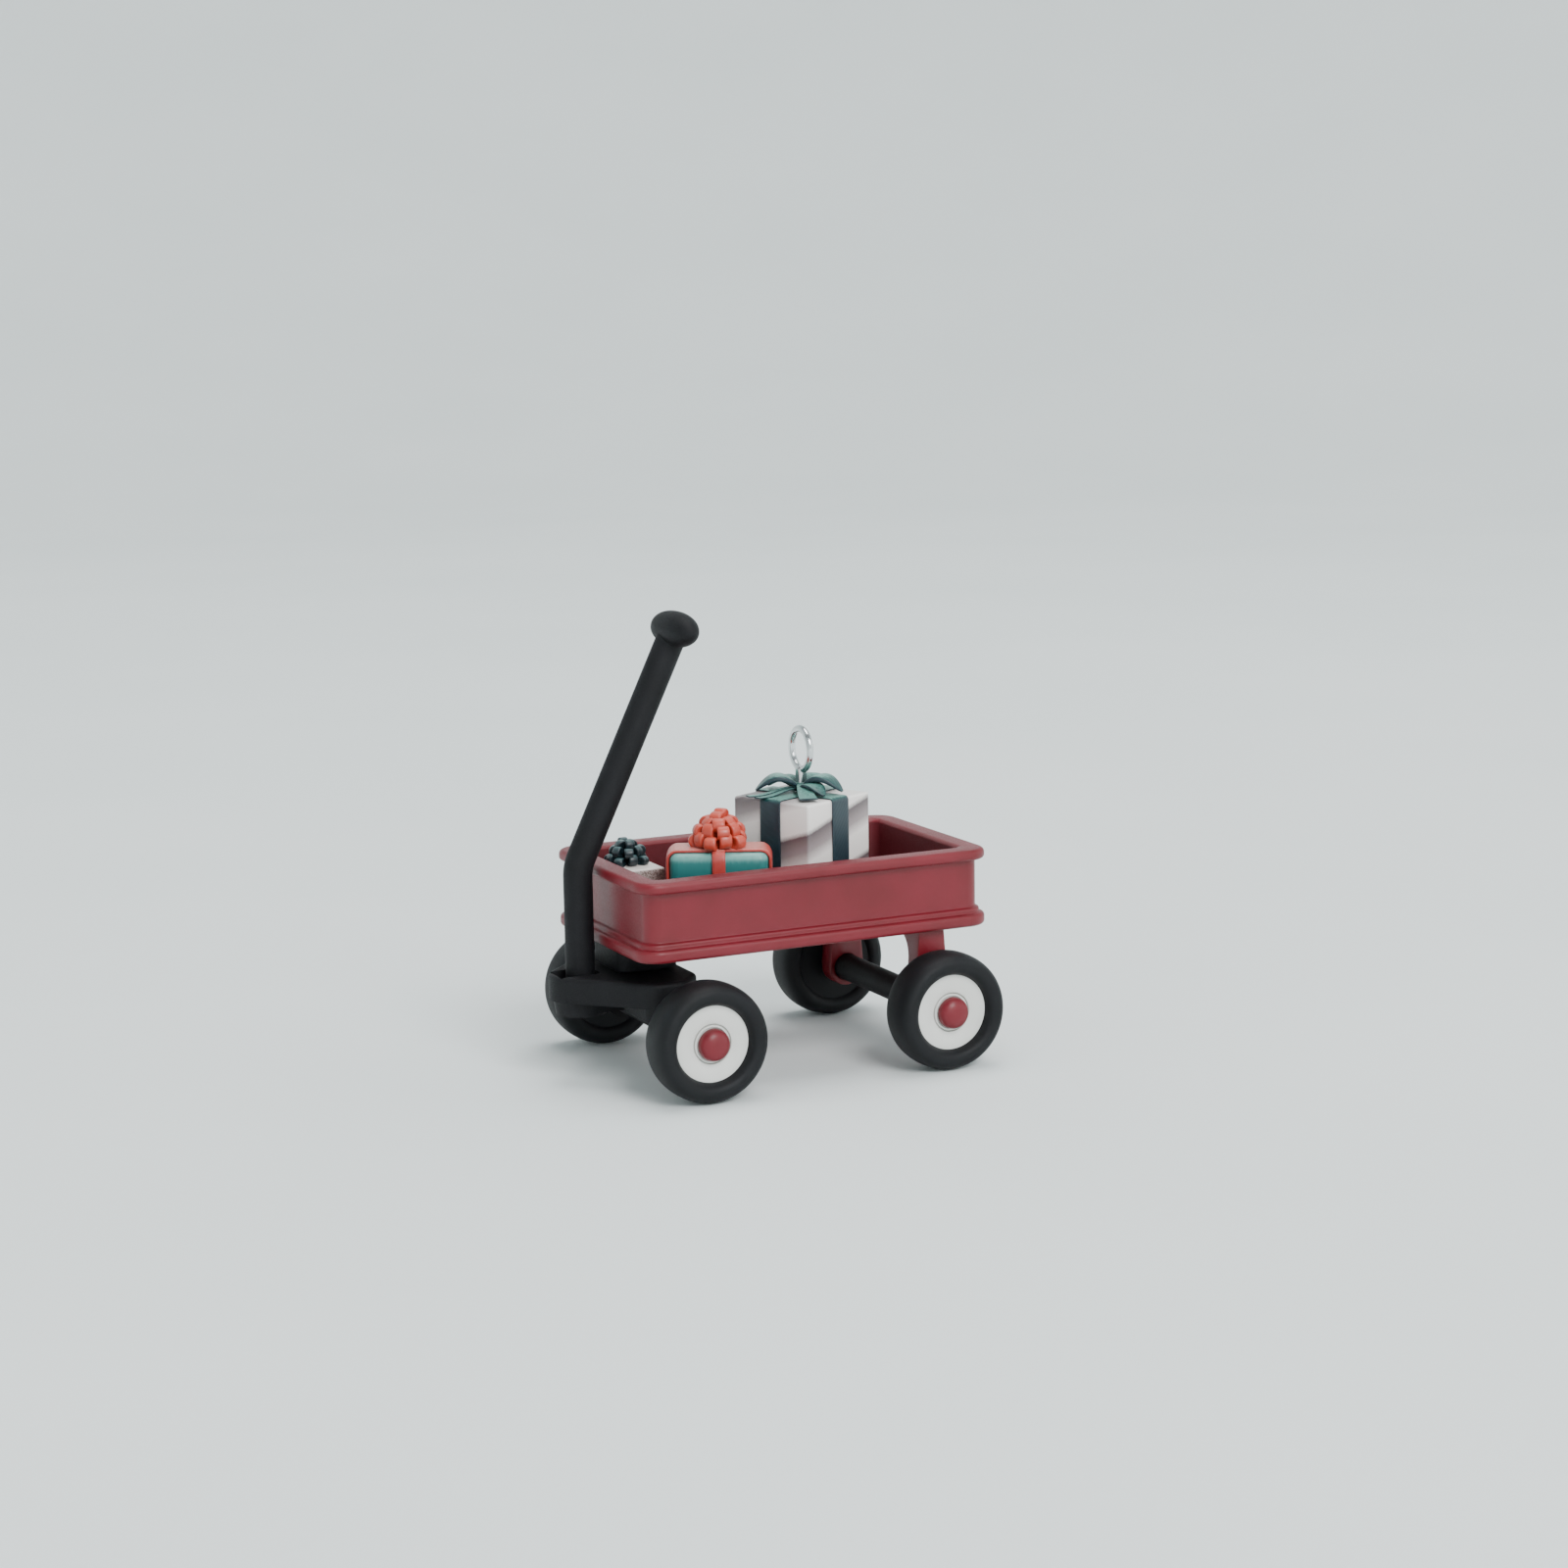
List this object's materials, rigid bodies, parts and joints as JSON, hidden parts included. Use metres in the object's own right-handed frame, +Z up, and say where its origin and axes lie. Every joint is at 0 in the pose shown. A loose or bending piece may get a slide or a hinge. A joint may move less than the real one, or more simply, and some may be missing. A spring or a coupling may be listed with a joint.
{
  "type": "pull wagon ornament",
  "caption": "Small red pull wagon with rounded rim, black wheels with white discs, steering front axle, folding bent handle, wrapped gifts in the tray and a wire hanging eye.",
  "frame": {"origin": "on the ground under the middle of the overall length and width, with the wheels resting on Z = 0", "axes": "+X forward, the way the wagon is pulled; +Y to the wagon's left; +Z up"},
  "size_m": [0.0329, 0.0242, 0.035],
  "materials": {
    "red_body": "satin moulded plastic",
    "red_cap": "satin moulded plastic",
    "black_running_gear": "fine matt moulded plastic",
    "black_tyre": "fine matt moulded plastic",
    "white_disc": "satin moulded plastic",
    "pin_steel": "turned steel",
    "eye_wire": "polished plated wire",
    "pearl_wrap": "pearl paint with soft grey bands",
    "green_ribbon": "satin paint",
    "teal_wrap": "satin paint",
    "coral_ribbon": "satin paint"
  },
  "bodies": {
    "wagon": {"wagon_tray": "red_body", "rear_axle_bracket": "red_body", "front_bolster": "black_running_gear", "rear_axle": "black_running_gear", "kingpin": "pin_steel", "hub_cap_rear_left": "red_cap", "hub_cap_rear_right": "red_cap", "gift_large_box": "pearl_wrap", "gift_large_ribbon": "green_ribbon", "gift_large_bow": "green_ribbon", "hanging_eye": "eye_wire", "gift_middle_box": "teal_wrap", "gift_middle_ribbon": "coral_ribbon", "gift_middle_bow": "coral_ribbon", "gift_small_box": "pearl_wrap", "gift_small_bow": "green_ribbon"},
    "front_steering": {"steering_yoke": "black_running_gear", "kingpin_washer": "pin_steel", "front_axle": "black_running_gear", "hub_cap_front_left": "red_cap", "hub_cap_front_right": "red_cap", "handle_pin": "pin_steel"},
    "handle": {"handle_rod": "black_running_gear", "handle_grip": "black_running_gear"},
    "wheel_front_left": {"tyre_front_left": "black_tyre", "wheel_disc_front_left": "white_disc"},
    "wheel_front_right": {"tyre_front_right": "black_tyre", "wheel_disc_front_right": "white_disc"},
    "wheel_rear_left": {"tyre_rear_left": "black_tyre", "wheel_disc_rear_left": "white_disc"},
    "wheel_rear_right": {"tyre_rear_right": "black_tyre", "wheel_disc_rear_right": "white_disc"}
  },
  "joints": [
    {"name": "steer", "type": "hinge", "parent": "wagon", "child": "front_steering", "pos_m": [0.00825, 0, 0.00832], "axis": [0, 0, 1], "range_deg": [-15, 15]},
    {"name": "handle_fold", "type": "hinge", "parent": "front_steering", "child": "handle", "pos_m": [0.01405, 0, 0.00717], "axis": [0, 1, 0], "range_deg": [0, 30]},
    {"name": "wheel_spin_front_left", "type": "hinge", "parent": "front_steering", "child": "wheel_front_left", "pos_m": [0.00825, 0.01, 0.0045], "axis": [0, 1, 0], "continuous": true},
    {"name": "wheel_spin_front_right", "type": "hinge", "parent": "front_steering", "child": "wheel_front_right", "pos_m": [0.00825, -0.01, 0.0045], "axis": [0, 1, 0], "continuous": true},
    {"name": "wheel_spin_rear_left", "type": "hinge", "parent": "wagon", "child": "wheel_rear_left", "pos_m": [-0.01155, 0.01, 0.0045], "axis": [0, 1, 0], "continuous": true},
    {"name": "wheel_spin_rear_right", "type": "hinge", "parent": "wagon", "child": "wheel_rear_right", "pos_m": [-0.01155, -0.01, 0.0045], "axis": [0, 1, 0], "continuous": true}
  ]
}
